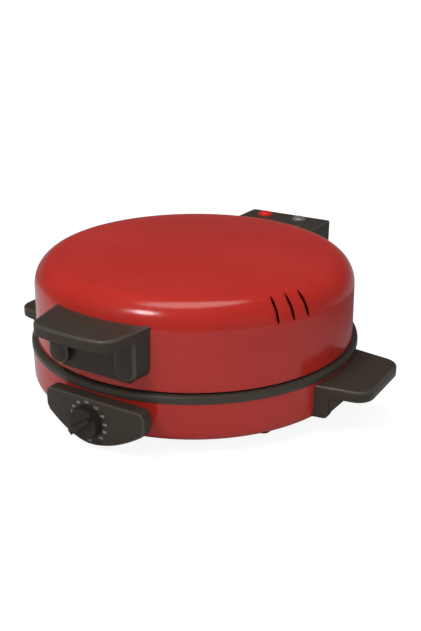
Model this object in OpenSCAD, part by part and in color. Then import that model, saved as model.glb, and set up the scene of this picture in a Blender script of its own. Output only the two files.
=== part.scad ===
/* [Baking plate and rim] */
// Inside radius of the baking pan at its mouth
pan_r = 150; // [140:0.5:165]
// Depth of the baking pan
pan_depth = 21; // [16:0.5:26]
// Thickness of the baking pan's wall and floor
pan_t = 2; // [1.5:0.1:3]
// Width of the baking pan's resting flange
flange_w = 8; // [6:0.5:11]
// Width of the black rim, pan mouth to outer edge
rim_w = 20; // [17:0.5:26]
// Height of the black rim ring above the base shell
rim_h = 7; // [6:0.5:12]
// Overhang of the rim ring past the base shell
rim_lip = 0.8; // [0.3:0.1:3]

/* [Base] */
// Height of the base shell's underside above the table
base_lift = 13; // [11:0.5:20]
// Height of the base shell, underside to rim ring
base_h = 40; // [38:0.5:60]
// Radius of the base shell's rounded lower edge
base_round = 11.4; // [8:0.2:13]
// Thickness of the pressed steel shells
sheet_t = 1; // [0.8:0.1:1.6]
// Thickness of the heat reflectors' sheet
foil_t = 0.8; // [0.6:0.1:1.2]
// Width of the base shell's lower flange
base_flange_w = 9; // [6:0.5:14]
// Setback of the feet's middles from the base shell's edge
foot_setback = 32.2; // [23:0.2:60]
// Radius of a foot where it meets the bottom cover
foot_r = 9; // [7:0.5:12]

/* [Lid] */
// Gap between the closed lid's shell and the rim ring
lid_gap = 2; // [1.5:0.1:4]
// Step from the rim's outer edge in to the lid's lower edge
lid_inset = 5.6; // [4:0.2:8]
// Height of the lid's side wall
lid_wall_h = 52.8; // [46:0.2:80]
// Narrowing of the lid's wall towards the top
lid_draft = 1.2; // [0:0.1:4]
// Radius of the lid's rounded shoulder
shoulder_r = 28; // [20:0.5:36]
// Rise of the lid's domed top above its shoulder
crown_h = 4.2; // [2:0.1:8]
// Direction of the first lid vent, from the right-hand side
vent_angle = -30.5; // [-60:0.5:0]
// Angle between neighbouring lid vents
vent_pitch = 6; // [4:0.5:12]
// Number of lid vents
vents = 3; // [1:1:6]
// Width of a lid vent
vent_w = 2.8; // [1:0.1:4]

/* [Lid handle] */
// Half width of the lid handle at the lid's wall
handle_half_w = 50.5; // [44:0.1:64]
// Reach of the lid handle in front of the lid's lower edge
handle_reach = 41.1; // [34:0.5:60]
// Height of the handle's top face above the lid's lower edge
handle_rise = 60.5; // [56:0.5:64]
// Height of the handle's front lip
lip_h = 10.5; // [8:0.5:14]
// Slope of the handle's sides, narrowing towards the front
handle_taper = 0.21; // [0:0.005:0.3]
// Radius of the handle's front corners
handle_round = 15; // [6:0.5:22]
// Width of each of the handle's two legs
leg_w = 22; // [16:0.5:28]
// Setback of the legs' front faces behind the lip
leg_setback = 32; // [24:0.5:34]
// Depth of the finger recess between the legs
recess_depth = 6.5; // [3:0.1:8]
// Height of the legs' lowest point above the lid's lower edge
leg_bottom = 12; // [8:0.5:20]
// Wall of the hollow plastic mouldings
mould_t = 2.5; // [2:0.1:4]

/* [Side handles] */
// Half width of a side handle at the rim's edge
wing_half_w = 48.3; // [40:0.5:60]
// Reach of a side handle past the rim's edge
wing_reach = 42.5; // [34:0.5:60]
// Thickness of a side handle's plate
wing_t = 11.2; // [8:0.1:14]
// Drop of a side handle's top below the rim ring
wing_drop = 1.8; // [0.5:0.1:3]
// Slope of a side handle's sides
wing_taper = 0.15; // [0:0.005:0.25]
// Radius of a side handle's outer corners
wing_round = 17.4; // [8:0.2:22]
// Height of a side handle's supports, top face to toe
wing_support_h = 32.4; // [26:0.1:36]

/* [Control panel] */
// Reach of the panel to the left of the dial
panel_left = 48; // [40:0.5:60]
// Reach of the panel to the right of the dial
panel_right = 62; // [44:0.5:66]
// Drop of the panel's top edge below the rim ring
panel_drop = 1.4; // [1:0.1:4]
// Height of the panel
panel_h = 46.6; // [42:0.1:50]
// Height of the panel's short ends
panel_end_h = 21; // [14:0.2:30]
// Thickness of the panel
panel_t = 12; // [8:0.5:16]
// Depth of the dial's centre below the panel's top edge
dial_drop = 23.1; // [20:0.1:26]
// Radius of the dial's skirt
knob_r = 15.8; // [11:0.2:17]
// Height of the dial, panel face to grip
knob_h = 11; // [8:0.5:16]
// Radius of the thermostat's shaft
shaft_r = 3; // [2.5:0.1:4]

/* [Hinge] */
// Half width of the hinge housing
housing_half_w = 52.5; // [50:0.5:64]
// Reach of the hinge housing behind the lid's lower edge
housing_reach = 57.1; // [50:0.5:70]
// Height of the hinge housing's top above the lid's lower edge
housing_rise = 66.8; // [56:0.2:70]
// Distance of the hinge axis behind the rim's edge
axis_back = 22; // [20:0.5:28]
// Height of the hinge axis above the lid's lower edge
axis_rise = 6; // [4:0.5:12]
// Radius of a hinge pin
pin_r = 3; // [2:0.1:4]
// Radius of the round end of a hinge ear
ear_r = 9; // [7:0.5:11]
// Thickness of a hinge ear on the base
ear_t = 6; // [4:0.5:8]
// Thickness of a hinge arm on the lid
arm_t = 3; // [2:0.5:4]
// Radius of an indicator lamp's lens
lens_r = 8.7; // [6:0.1:10]
// Distance between the two lamp lenses
lens_pitch = 46.2; // [34:0.2:60]

/* [Heating] */
// Radius of a heating element's tube
tube_r = 3.5; // [2.5:0.1:4.5]
// Radius of the lower heating element's loop
lower_loop_r = 105; // [80:1:115]
// Radius of the upper heating element's loop
upper_loop_r = 100; // [80:1:112]
// Depth of the upper reflector above its flange
upper_depth = 40; // [34:0.5:44]
// Depth of the lower reflector below its flange
lower_depth = 26; // [24:0.5:27]
// Radius of the hole in the cord bush
cord_hole_r = 3.6; // [2.5:0.1:4.5]
// Radius of the neon lamps
lamp_r = 2.8; // [2:0.1:4]

/* [Hidden] */
$fn = 64;

/* Clearances and small details */
eps = 0.01;
slip = 0.2;
run_fit = 0.05;
body_gap = 0.6;
arc_steps = 8;
screw_r = 2;
foot_taper = 1.5;
trim_drop = 1;
trim_w = 9;
trim_h = 7;
ledge_t = 3.2;
head_gap = 0.1;
pin_tail = 3.5;
pin_end_gap = 2;

/* Grip of the self-tapping screws in what they hold, and where they stand */
screw_grip = 6;
panel_screw_grip = 9;
lid_screw_grip = 8;
arm_screw_grip = 4;
panel_screw_drop = 16;
panel_screw_left = 18;
panel_screw_right = 24;
side_screw_in = 5;
side_screw_drop = 14;
bracket_screw_x = 23.5;
bracket_screw_drops = [10, 24];
arm_screw_in = 6;
bend_swell = 0.3;
bend_lap = 1;
clip_t = 1.2;

/* Hinge bracket: height of its block, its reach past the rim, and its ears' roots */
bracket_h = 30;
bracket_drop = 2;
bracket_reach = 7;
bracket_side = 4;
ear_root_low = 12;
ear_root_high = 4;
ear_root_t = 7;

/* Leads laid round inside the base */
lead_r = 1.8;
lead_lift = 12;
lead_gap = 0.6;

/* Radii of the stacked round parts */
rim_r = pan_r + rim_w;
base_r = rim_r - rim_lip;
lid_r = rim_r - lid_inset;
lid_top_r = lid_r - lid_draft;
dome_r = lid_top_r - shoulder_r;
base_inner_r = base_r - sheet_t;
pan_flange_r = pan_r + flange_w;
pan_foot_r = pan_r - 4;
foot_circle_r = base_r - foot_setback;

/* Heights above the table */
z_cover = base_lift - sheet_t;
z_seat = base_lift + base_h;
z_rim = z_seat + rim_h;
z_lid = z_rim + lid_gap;
z_wall = z_lid + lid_wall_h;
z_pan_floor = z_rim - pan_depth;
z_pan_under = z_pan_floor - pan_t;
spigot_h = 5;
spigot_w = 8;
z_spigot = z_seat - spigot_h;
z_lower_floor = z_spigot - lower_depth;
z_lower_loop = z_pan_under - tube_r - clip_t - run_fit;
z_trim = z_lid - trim_drop;
z_upper_flange = z_trim + ledge_t;
z_upper_roof = z_upper_flange + upper_depth;
z_upper_loop = z_upper_roof - 3.4 * tube_r;

/* Reach of the whole appliance; the origin is under the middle of its footprint */
handle_front = lid_r + handle_reach;
housing_back = lid_r + housing_reach;
mid_y = (housing_back - handle_front) / 2;

/* Lid handle: where its plate starts inside the lid's edge, and the middle of each leg */
handle_y0 = lid_r - 16;
leg_mid_x = handle_half_w - leg_w / 2 - 1;
leg_round = 0.45 * leg_w;

/* Hinge */
axis_y = rim_r + axis_back;
axis_z = z_lid + axis_rise;
pin_end = housing_half_w - mould_t - pin_end_gap;
arm_x = pin_end - pin_tail - arm_t;
ear_x = arm_x - 2.5 * body_gap - ear_t;
bush_r = pin_r + 2;
lamp_y = housing_back - 16.5;
lamp_mid_x = -4.9;
boss_x = 18;
boss_h = 41;
z_boss_top = z_lid + boss_h;
z_housing = z_lid + 1;
z_housing_top = z_lid + housing_rise;

/* Control panel */
z_panel_top = z_seat - panel_drop;
z_panel_low = z_panel_top - panel_h;
z_dial = z_panel_top - dial_drop;
panel_back = base_r + 0.3;
panel_face = panel_back + panel_t;
panel_corner = 6;
panel_end_round = 6;
thermostat_d = 11;

function arc(c, r, a, b, n = arc_steps) =
    [for (i = [0:n]) [c[0] + r * cos(a + (b - a) * i / n), c[1] + r * sin(a + (b - a) * i / n)]];

/* The lid's top is a flat arc that meets the shoulder's arc in one tangent */
crown_reach = (dome_r * dome_r + crown_h * crown_h) / (2 * crown_h);
crown_r = crown_reach + shoulder_r;
crown_z = z_wall - crown_reach + crown_h;
crown_start = 90 - asin(dome_r / crown_reach);

/* Outer face of the lid, offset inwards by t, as radius and height pairs from rim to crown */
function lid_face(t) = concat(
    [[lid_r - t, z_lid]],
    arc([dome_r, z_wall], shoulder_r - t, 0, crown_start, 12),
    [for (i = [1:6]) let (a = crown_start + (90 - crown_start) * i / 6)
        [i == 6 ? 0 : (crown_r - t) * cos(a), crown_z + (crown_r - t) * sin(a)]]);

/* Radius of the lid's outer wall at a height above its lower edge */
function lid_wall_r(h) = lid_r - lid_draft * h / lid_wall_h;

function reversed(points) = [for (i = [len(points) - 1:-1:0]) points[i]];

/* Outer face of the base, offset inwards by t, from rim seat to lower flange */
function base_face(t) = concat(
    [[base_r - t, z_seat]],
    arc([base_r - base_round, base_lift + base_round], base_round - t, 0, -90));

module placed() {
    translate([0, -mid_y, 0])
        children();
}

/* Solid spaces that the lid and the base fill, for fitting pieces against them */
module lid_space() {
    rotate_extrude()
        polygon(concat(lid_face(0), [[0, z_lid]]));
}

module base_space() {
    rotate_extrude()
        polygon(concat([[0, z_seat]], base_face(0), [[0, base_lift]]));
}

/* A screw along +Z with its head's underside at the origin */
module screw(length, r = screw_r) {
    head_r = 1.9 * r;
    translate([0, 0, -length])
        cylinder(r = r, h = length + eps);
    cylinder(r1 = head_r, r2 = 0.8 * head_r, h = 1.1 * r);
}

/* A piece built along +Z, turned to point outwards at an angle, a radius and a height */
module outwards(angle, radius, z) {
    rotate([0, 0, angle])
        translate([radius, 0, z])
            rotate([0, 90, 0])
                children();
}

/* Screws driven from inside a round wall, their heads just clear of its curve */
module wall_screw(angle, wall_r, z, length) {
    outwards(angle, wall_r - head_gap, z)
        rotate([180, 0, 0])
            screw(length + head_gap);
}

/* A hole for such a screw, from inside the wall to a depth in what it holds */
module wall_hole(angle, wall_r, z, depth, r) {
    outwards(angle, wall_r - 3, z)
        cylinder(r = r, h = 3 + depth);
}

module base_shell() {
    color([0.55, 0.14, 0.12])
        placed()
            difference() {
                rotate_extrude()
                    polygon(concat(base_face(0),
                        [[base_r - base_round - base_flange_w, base_lift],
                         [base_r - base_round - base_flange_w, base_lift + sheet_t]],
                        reversed(base_face(sheet_t))));
                outwards(-90, base_inner_r - 2, z_dial)
                    cylinder(r = bush_hole_r, h = 6);
                for (a = panel_screw_angles)
                    wall_hole(a, base_inner_r, z_panel_screw, 4, screw_r + slip);
                for (a = side_screw_angles)
                    wall_hole(a, base_inner_r, z_side_screw, 4, screw_r + slip);
                for (a = bracket_screw_angles, z = z_bracket_screws)
                    wall_hole(a, base_inner_r, z, 4, screw_r + slip);
                outwards(cord_angle, base_inner_r - 4, z_cord)
                    cylinder(r = cord_barrel_r, h = 8);
                for (a = cover_screw_angles)
                    rotate([0, 0, a])
                        translate([cover_screw_circle, 0, base_lift - 1])
                            cylinder(r = screw_r, h = sheet_t + 2);
            }
}
bush_hole_r = shaft_r + 2.5;
cord_angle = 64;
cord_barrel_r = cord_hole_r + 3;
z_cord = base_lift + base_round + 9;
panel_screw_angles = [-90 - asin((panel_left - panel_screw_left) / base_r),
    -90 + asin((panel_right - panel_screw_right) / base_r)];
z_panel_screw = z_panel_top - panel_screw_drop;
side_screw_tilt = asin((wing_half_w - side_screw_in) / base_r);
side_screw_angles = [-side_screw_tilt, side_screw_tilt, 180 - side_screw_tilt, 180 + side_screw_tilt];
z_side_screw = z_seat - side_screw_drop;
bracket_screw_angles = [for (s = [-1, 1]) 90 + s * asin(bracket_screw_x / base_r)];
z_bracket_screws = [for (drop = bracket_screw_drops) z_seat - drop];

module bottom_cover() {
    cover_r = base_r - base_round - 1.5;
    color([0.16, 0.16, 0.16])
        placed()
            difference() {
                translate([0, 0, z_cover])
                    cylinder(r = cover_r, h = sheet_t);
                for (row = [70, 95, 120], k = [0:15])
                    rotate([0, 0, k * 22.5 + 11.25])
                        translate([row, 0, z_cover])
                            vent_slot(12);
                for (a = foot_angles)
                    foot_place(a)
                        cylinder(r = foot_stem_r, h = base_lift + 4);
                for (a = cover_screw_angles)
                    rotate([0, 0, a])
                        translate([cover_screw_circle, 0, 0])
                            cylinder(r = screw_r + slip, h = base_lift + 4);
            }
}
foot_angles = [-150.5, -29.5, 112, 68];
foot_stem_r = 3;
cover_screw_angles = [0, 90, 180, 270];
cover_screw_circle = base_r - base_round - base_flange_w / 2;

module vent_slot(length) {
    slot_w = 3;
    translate([-length / 2, -slot_w / 2, -1])
        cube([length, slot_w, sheet_t + 2]);
}

module foot_place(angle) {
    rotate([0, 0, angle])
        translate([foot_circle_r, 0, 0])
            children();
}

module cover_screws() {
    color([0.6, 0.6, 0.6])
        placed()
            for (a = cover_screw_angles)
                rotate([0, 0, a])
                    translate([cover_screw_circle, 0, z_cover])
                        rotate([180, 0, 0])
                            screw(2 * sheet_t + 2);
}

module foot(angle) {
    color([0.08, 0.08, 0.08])
        placed()
            foot_place(angle) {
                cylinder(r1 = foot_r - foot_taper, r2 = foot_r, h = z_cover);
                cylinder(r = foot_stem_r, h = base_lift + 1);
                translate([0, 0, base_lift])
                    cylinder(r1 = foot_stem_r + 1.2, r2 = foot_stem_r - 1, h = 3);
            }
}
module foot_front_left() {
    foot(foot_angles[0]);
}
module foot_front_right() {
    foot(foot_angles[1]);
}
module foot_rear_left() {
    foot(foot_angles[2]);
}
module foot_rear_right() {
    foot(foot_angles[3]);
}

/* The ring sits on the base shell's edge, its spigot inside, and carries the pan's flange */
module rim_ring() {
    bore_r = pan_r + pan_t + 1.5;
    seat_r = pan_flange_r + slip;
    spigot_r = base_inner_r - slip;
    color([0.12, 0.13, 0.12])
        placed()
            difference() {
                rotate_extrude()
                    polygon([[rim_r - 0.5, z_seat], [rim_r, z_seat + 0.5],
                        [rim_r, z_rim - 0.55 * rim_h], [rim_r - 1.2, z_rim - 0.22 * rim_h],
                        [rim_r - 4.4, z_rim], [seat_r, z_rim], [seat_r, z_rim - pan_t],
                        [bore_r, z_rim - pan_t], [bore_r, z_seat], [spigot_r - spigot_w, z_seat],
                        [spigot_r - spigot_w, z_spigot], [spigot_r, z_spigot], [spigot_r, z_seat]]);
                reflector_screw_places()
                    cylinder(r = screw_r, h = spigot_h + 4);
            }
}

module reflector_screw_places() {
    for (k = [0:5])
        rotate([0, 0, 30 + 60 * k])
            translate([base_inner_r - slip - spigot_w / 2, 0, z_spigot - foil_t])
                children();
}

/* Screws that hold the reflector and the rim ring's spigot together, driven from below */
module reflector_screws() {
    color([0.6, 0.6, 0.6])
        placed()
            reflector_screw_places()
                rotate([180, 0, 0])
                    screw(foil_t + spigot_h + 2);
}

module lower_pan() {
    corner = 6;
    color([0.1, 0.1, 0.11])
        placed()
            rotate_extrude()
                polygon(concat(
                    [[pan_flange_r, z_rim - pan_t], [pan_flange_r, z_rim], [pan_r + 1, z_rim],
                     [pan_r, z_rim - 1]],
                    arc([pan_foot_r - corner, z_pan_floor + corner], corner, 0, -90),
                    [[0, z_pan_floor], [0, z_pan_under]],
                    arc([pan_foot_r - corner, z_pan_floor + corner], corner + pan_t, -90, 0),
                    [[pan_r + pan_t - 0.3, z_rim - pan_t - 1], [pan_r + pan_t, z_rim - pan_t]]));
}

/* A dished heat reflector under the pan, its flange against the rim ring's spigot */
module lower_reflector() {
    flange_out = base_inner_r - 1;
    floor_r = pan_r - 14;
    bend_r = pan_r + pan_t + 3;
    color([0.75, 0.75, 0.76])
        placed()
            difference() {
                rotate_extrude()
                    polygon([[flange_out, z_spigot], [bend_r + 1, z_spigot],
                        [bend_r - 2, z_pan_under + 2], [floor_r, z_lower_floor + foil_t],
                        [0, z_lower_floor + foil_t], [0, z_lower_floor], [floor_r + 0.5, z_lower_floor],
                        [bend_r - 1, z_pan_under + 1.6], [bend_r + 2, z_spigot - foil_t],
                        [flange_out, z_spigot - foil_t]]);
                element_legs(lower_loop_r, z_lower_loop, tube_r + 1, base_inner_r);
                reflector_screw_places()
                    translate([0, 0, -1])
                        cylinder(r = screw_r + slip, h = foil_t + 2);
            }
}

/* The two straight legs of an element whose loop is open at the back */
function leg_x(loop_r) = (loop_r + elbow_r) * cos(loop_end) - elbow_r;
function leg_y(loop_r) = (loop_r + elbow_r) * sin(loop_end);
elbow_r = 12;
loop_end = 75;

module element_legs(loop_r, z, radius, reach) {
    for (side = [-1, 1])
        translate([side * leg_x(loop_r), leg_y(loop_r), z])
            rotate([-90, 0, 0])
                translate([0, 0, -bend_lap])
                    cylinder(r = radius, h = reach - leg_y(loop_r) + bend_lap);
}

/* An open loop, two elbows a little thicker than the tube that lap it, and two legs */
module element(loop_r, z, sheath_end, wire_end) {
    lap_angle = asin(bend_lap / loop_r);
    translate([0, 0, z])
        rotate([0, 0, 180 - loop_end - lap_angle])
            rotate_extrude(angle = 180 + 2 * loop_end + 2 * lap_angle)
                translate([loop_r, 0])
                    circle(r = tube_r);
    for (side = [0, 1])
        mirror([side, 0, 0])
            translate([leg_x(loop_r) + elbow_r, leg_y(loop_r), z])
                rotate([0, 0, 180])
                    rotate_extrude(angle = loop_end)
                        translate([elbow_r, 0])
                            circle(r = tube_r + bend_swell);
    element_legs(loop_r, z, tube_r, sheath_end);
    element_legs(loop_r, z, tube_r / 2.5, wire_end);
}

module lower_heater() {
    color([0.35, 0.33, 0.32])
        placed()
            element(lower_loop_r, z_lower_loop, base_inner_r - 11, base_inner_r - 5);
}

/* Clamps that hold an element's tube; each foot reaches from z_foot to the tube */
clip_angles = [-135, -45, 45, 135];
module element_clips(loop_r, z, z_foot) {
    clip_w = 8;
    band_r = tube_r + clip_t;
    for (a = clip_angles)
        rotate([0, 0, a])
            translate([loop_r, -clip_w / 2, 0]) {
                translate([0, clip_w, z])
                    rotate([90, 0, 0])
                        difference() {
                            cylinder(r = band_r, h = clip_w);
                            translate([0, 0, -1])
                                cylinder(r = tube_r + run_fit, h = clip_w + 2);
                        }
                translate([band_r - clip_t, 0, min(z, z_foot)])
                    cube([clip_t, clip_w, abs(z - z_foot)]);
                translate([band_r - clip_t, 0, z_foot < z ? z_foot : z_foot - 1])
                    cube([9, clip_w, 1]);
            }
}

module lower_heater_clips() {
    color([0.7, 0.7, 0.7])
        placed()
            element_clips(lower_loop_r, z_lower_loop, z_lower_floor + foil_t);
}

/* Thermostat body behind the wall, with the threaded bush that passes through it */
module thermostat() {
    bush_end = panel_face - 3;
    body_w = 30;
    body_h = 16;
    setback = 1.8;
    color([0.85, 0.82, 0.74])
        placed()
            difference() {
                union() {
                    translate([-body_w / 2, -base_inner_r + setback, z_dial - body_h / 2])
                        cube([body_w, thermostat_d, body_h]);
                    for (x = [-body_w / 2 - 5, body_w / 2 - 1])
                        translate([x, -base_inner_r + thermostat_d - 2, z_dial - 3])
                            cube([6, 0.8, 6]);
                    translate([0, -base_inner_r + 4, z_dial])
                        rotate([90, 0, 0])
                            cylinder(r = bush_hole_r - slip, h = bush_end - base_inner_r + 4);
                }
                translate([0, -base_inner_r + 10, z_dial])
                    rotate([90, 0, 0])
                        cylinder(r = shaft_r + run_fit, h = 40);
            }
}

/* Hexagonal nut that pulls the thermostat against the wall, in the panel's pocket */
module thermostat_nut() {
    color([0.8, 0.76, 0.55])
        placed()
            translate([0, -base_r, z_dial])
                rotate([90, 0, 0])
                    difference() {
                        cylinder(r = nut_r, h = nut_h, $fn = 6);
                        translate([0, 0, -1])
                            cylinder(r = bush_hole_r - slip, h = nut_h + 2);
                    }
}
nut_r = bush_hole_r + 3;
nut_h = 3;

module thermal_fuse() {
    color([0.8, 0.78, 0.7])
        placed()
            translate([-9, fuse_y, z_lower_floor - fuse_r]) {
                rotate([0, 90, 0])
                    cylinder(r = fuse_r, h = 18);
                translate([-8, 0, 0])
                    rotate([0, 90, 0])
                        cylinder(r = 0.8, h = 34);
            }
}
fuse_r = 3.2;
fuse_y = -55;

/* Strap under the fuse, its two feet flat against the reflector's floor */
module fuse_strap() {
    strap_w = 7;
    strap_t = 0.7;
    color([0.7, 0.7, 0.7])
        placed()
            translate([-strap_w / 2, fuse_y, z_lower_floor]) {
                difference() {
                    translate([0, 0, -fuse_r])
                        rotate([0, 90, 0])
                            cylinder(r = fuse_r + strap_t, h = strap_w);
                    translate([-1, 0, -fuse_r])
                        rotate([0, 90, 0])
                            cylinder(r = fuse_r, h = strap_w + 2);
                    translate([-1, -20, -fuse_r])
                        cube([strap_w + 2, 40, 20]);
                }
                for (side = [0, 1])
                    mirror([0, side, 0]) {
                        translate([0, fuse_r, -fuse_r])
                            cube([strap_w, strap_t, fuse_r]);
                        translate([0, fuse_r, -strap_t])
                            cube([strap_w, 7, strap_t]);
                    }
            }
}

/* Ceramic block that joins the supply leads to the elements, fixed beside the cord bush */
module terminal_block() {
    block = [12, 34, 14];
    color([0.93, 0.91, 0.86])
        placed()
            rotate([0, 0, 48])
                translate([base_r - base_round - 0.8 - block[0], -block[1] / 2, base_lift + sheet_t])
                    difference() {
                        cube(block);
                        for (k = [0:2])
                            translate([block[0] / 2, 6 + k * 11, block[2] - 6])
                                cylinder(r = 2.2, h = 7);
                    }
}

/* Insulated leads laid round inside the base, from the block to thermostat and element */
module internal_leads() {
    color([0.85, 0.8, 0.7])
        placed()
            for (run = [[-80, 41.7, z_cover + lead_lift], [46, 80, z_lower_loop]])
                rotate([0, 0, run[0]])
                    rotate_extrude(angle = run[1] - run[0])
                        translate([base_r - base_round + lead_gap, run[2]])
                            circle(r = lead_r);
}

module cord_bush() {
    color([0.1, 0.1, 0.1])
        placed()
            outwards(cord_angle, base_inner_r - 5, z_cord)
                difference() {
                    union() {
                        cylinder(r = cord_barrel_r, h = 10);
                        translate([0, 0, 5 + sheet_t + slip])
                            cylinder(r1 = cord_barrel_r + 3, r2 = cord_barrel_r + 1.5, h = 4);
                        cylinder(r = cord_barrel_r + 1.5, h = 4);
                    }
                    translate([0, 0, -1])
                        cylinder(r = cord_hole_r, h = 20);
                }
}

/* Lower edge of the panel: lowest under the dial, rising to its ends, a share u of the way */
function panel_edge(side, low, rise, u) = [side * u, low + rise * pow(abs(u), 1.8)];

/* Front outline of the panel: straight top, short ends and the curved lower edge, inset by d */
function panel_outline(d) =
    let (x0 = -panel_left + d,
        x1 = panel_right - d,
        low = z_panel_low + d,
        rise = panel_h - panel_end_h - d / 2,
        top = z_panel_top - d,
        c = max(panel_corner - d, 1),
        lift = max(panel_end_round - d, 0.5) / 2)
    concat([[x0, low + rise + lift]],
        [for (i = [19:-1:1]) panel_edge(x0, low, rise, i / 20)],
        [for (i = [0:19]) panel_edge(x1, low, rise, i / 20)],
        [[x1, low + rise + lift]],
        arc([x1 - c, top - c], c, 0, 90),
        arc([x0 + c, top - c], c, 90, 180));

module dial_panel() {
    neck_inset = 8;
    color([0.13, 0.12, 0.11])
        placed()
            difference() {
                union() {
                    translate([0, -panel_back, 0])
                        rotate([90, 0, 0])
                            linear_extrude(panel_t)
                                polygon(panel_outline(0));
                    difference() {
                        translate([0, -base_r + 22, 0])
                            rotate([90, 0, 0])
                                linear_extrude(panel_back - base_r + 22)
                                    polygon(panel_outline(neck_inset));
                        base_space();
                        translate([-100, -base_r + 22.5, 0])
                            cube([200, 30, z_rim]);
                    }
                }
                translate([0, -base_r + 10, z_dial])
                    rotate([90, 0, 0])
                        cylinder(r = bush_hole_r + slip, h = 40);
                translate([0, -panel_back + 1, z_dial])
                    rotate([90, 0, 0])
                        cylinder(r = nut_r + 0.8, h = nut_h + 2);
                for (a = panel_screw_angles)
                    wall_hole(a, base_r, z_panel_screw, panel_screw_grip + slip, screw_r);
            }
}

module panel_screws() {
    color([0.6, 0.6, 0.6])
        placed()
            for (a = panel_screw_angles)
                wall_screw(a, base_inner_r, z_panel_screw, sheet_t + panel_screw_grip);
}

/* Shaft of the thermostat, turned by the dial */
module dial_shaft() {
    color([0.75, 0.75, 0.72])
        placed()
            translate([0, -base_inner_r + 8, z_dial])
                rotate([90, 0, 0])
                    cylinder(r = shaft_r, h = panel_face - base_inner_r + 8 + knob_h - 3);
}

/* Dial with a skirt, a body and a raised grip bar, at rest pointing to off */
off_angle = 38;
module dial_knob() {
    skirt_h = 1.6;
    body_r = knob_r - 0.5;
    body_h = knob_h - 4.5;
    bar_w = 6;
    bar_back_w = 4;
    bar_reach = 1.2;
    bar_tip = knob_r + bar_reach;
    bar_back = body_r - 3;
    color([0.12, 0.11, 0.1])
        placed()
            translate([0, -panel_face - body_gap, z_dial])
                rotate([90, 0, 0])
                    difference() {
                        union() {
                            cylinder(r = knob_r, h = skirt_h);
                            cylinder(r1 = body_r, r2 = body_r - 0.8, h = body_h);
                            rotate([0, 0, off_angle])
                                intersection() {
                                    linear_extrude(knob_h - body_gap)
                                        polygon([[-bar_tip, -bar_w / 2], [bar_back, -bar_back_w / 2],
                                            [bar_back, bar_back_w / 2], [-bar_tip, bar_w / 2]]);
                                    cylinder(r = bar_tip, h = knob_h);
                                }
                        }
                        translate([0, 0, -1])
                            cylinder(r = shaft_r, h = knob_h - 2);
                    }
}

/* Plan outline of a side handle on the right: root inside the base, rounded outer corners */
wing_end = rim_r + wing_reach;
wing_slant = atan(wing_taper);
function wing_half(x) = wing_half_w - wing_taper * (x - rim_r);
function wing_corner_y() = wing_half(wing_end - wing_round) - wing_round / cos(wing_slant);
function wing_outline() = concat(
    [[rim_r - 30, -wing_half(rim_r - 30)]],
    arc([wing_end - wing_round, -wing_corner_y()], wing_round, -90 + wing_slant, 0),
    arc([wing_end - wing_round, wing_corner_y()], wing_round, 0, 90 - wing_slant),
    [[rim_r - 30, wing_half(rim_r - 30)]]);

module side_handle() {
    z_top = z_seat - wing_drop;
    z_toe = z_top - wing_support_h;
    post_reach = 7.2;
    toe_round = 5;
    web_reach = 20.3;
    web_setback = 1.2;
    support_t = 8;
    wall_t = 4;
    difference() {
        union() {
            translate([0, 0, z_top - wing_t])
                linear_extrude(wing_t)
                    polygon(wing_outline());
            /* two posts flush with the handle's sides, and a root plate against the base */
            intersection() {
                translate([0, 0, z_toe])
                    linear_extrude(wing_support_h)
                        polygon(wing_outline());
                union() {
                    for (side = [-1, 1])
                        translate([0, side * wing_half_w + support_t, 0])
                            rotate([90, 0, 0])
                                linear_extrude(2 * support_t)
                                    polygon(concat([[base_r - 30, z_top - 1], [base_r - 30, z_toe]],
                                        arc([base_r + post_reach - toe_round, z_toe + toe_round],
                                            toe_round, -90, 0),
                                        [[base_r + post_reach, z_top - 1]]));
                    translate([0, 0, z_toe])
                        cylinder(r = base_r + wall_t, h = wing_support_h);
                }
            }
            /* webs a little inside the posts, slanting out to the plate */
            for (side = [-1, 1])
                intersection() {
                    translate([0, -side * web_setback, z_toe])
                        linear_extrude(wing_support_h)
                            polygon(wing_outline());
                    translate([0, side * wing_half_w + support_t, 0])
                        rotate([90, 0, 0])
                            linear_extrude(2 * support_t)
                                polygon([[base_r, z_top - wing_t + 1], [base_r, z_toe + toe_round],
                                    [base_r + post_reach, z_toe + toe_round],
                                    [base_r + web_reach, z_top - wing_t],
                                    [base_r + web_reach, z_top - wing_t + 1]]);
                }
        }
        base_space();
        translate([0, 0, z_toe - 30])
            cylinder(r = base_r - base_round, h = 60);
        translate([0, 0, z_toe - 1])
            cylinder(r = base_r - 10, h = 60);
        for (tilt = [-side_screw_tilt, side_screw_tilt])
            wall_hole(tilt, base_r, z_side_screw, screw_grip + slip, screw_r);
    }
}

module handle_right() {
    color([0.14, 0.13, 0.12])
        placed()
            side_handle();
}

module handle_left() {
    color([0.14, 0.13, 0.12])
        placed()
            mirror([1, 0, 0])
                side_handle();
}

module side_handle_screws() {
    color([0.6, 0.6, 0.6])
        placed()
            for (a = side_screw_angles)
                wall_screw(a, base_inner_r, z_side_screw, sheet_t + screw_grip);
}

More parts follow.
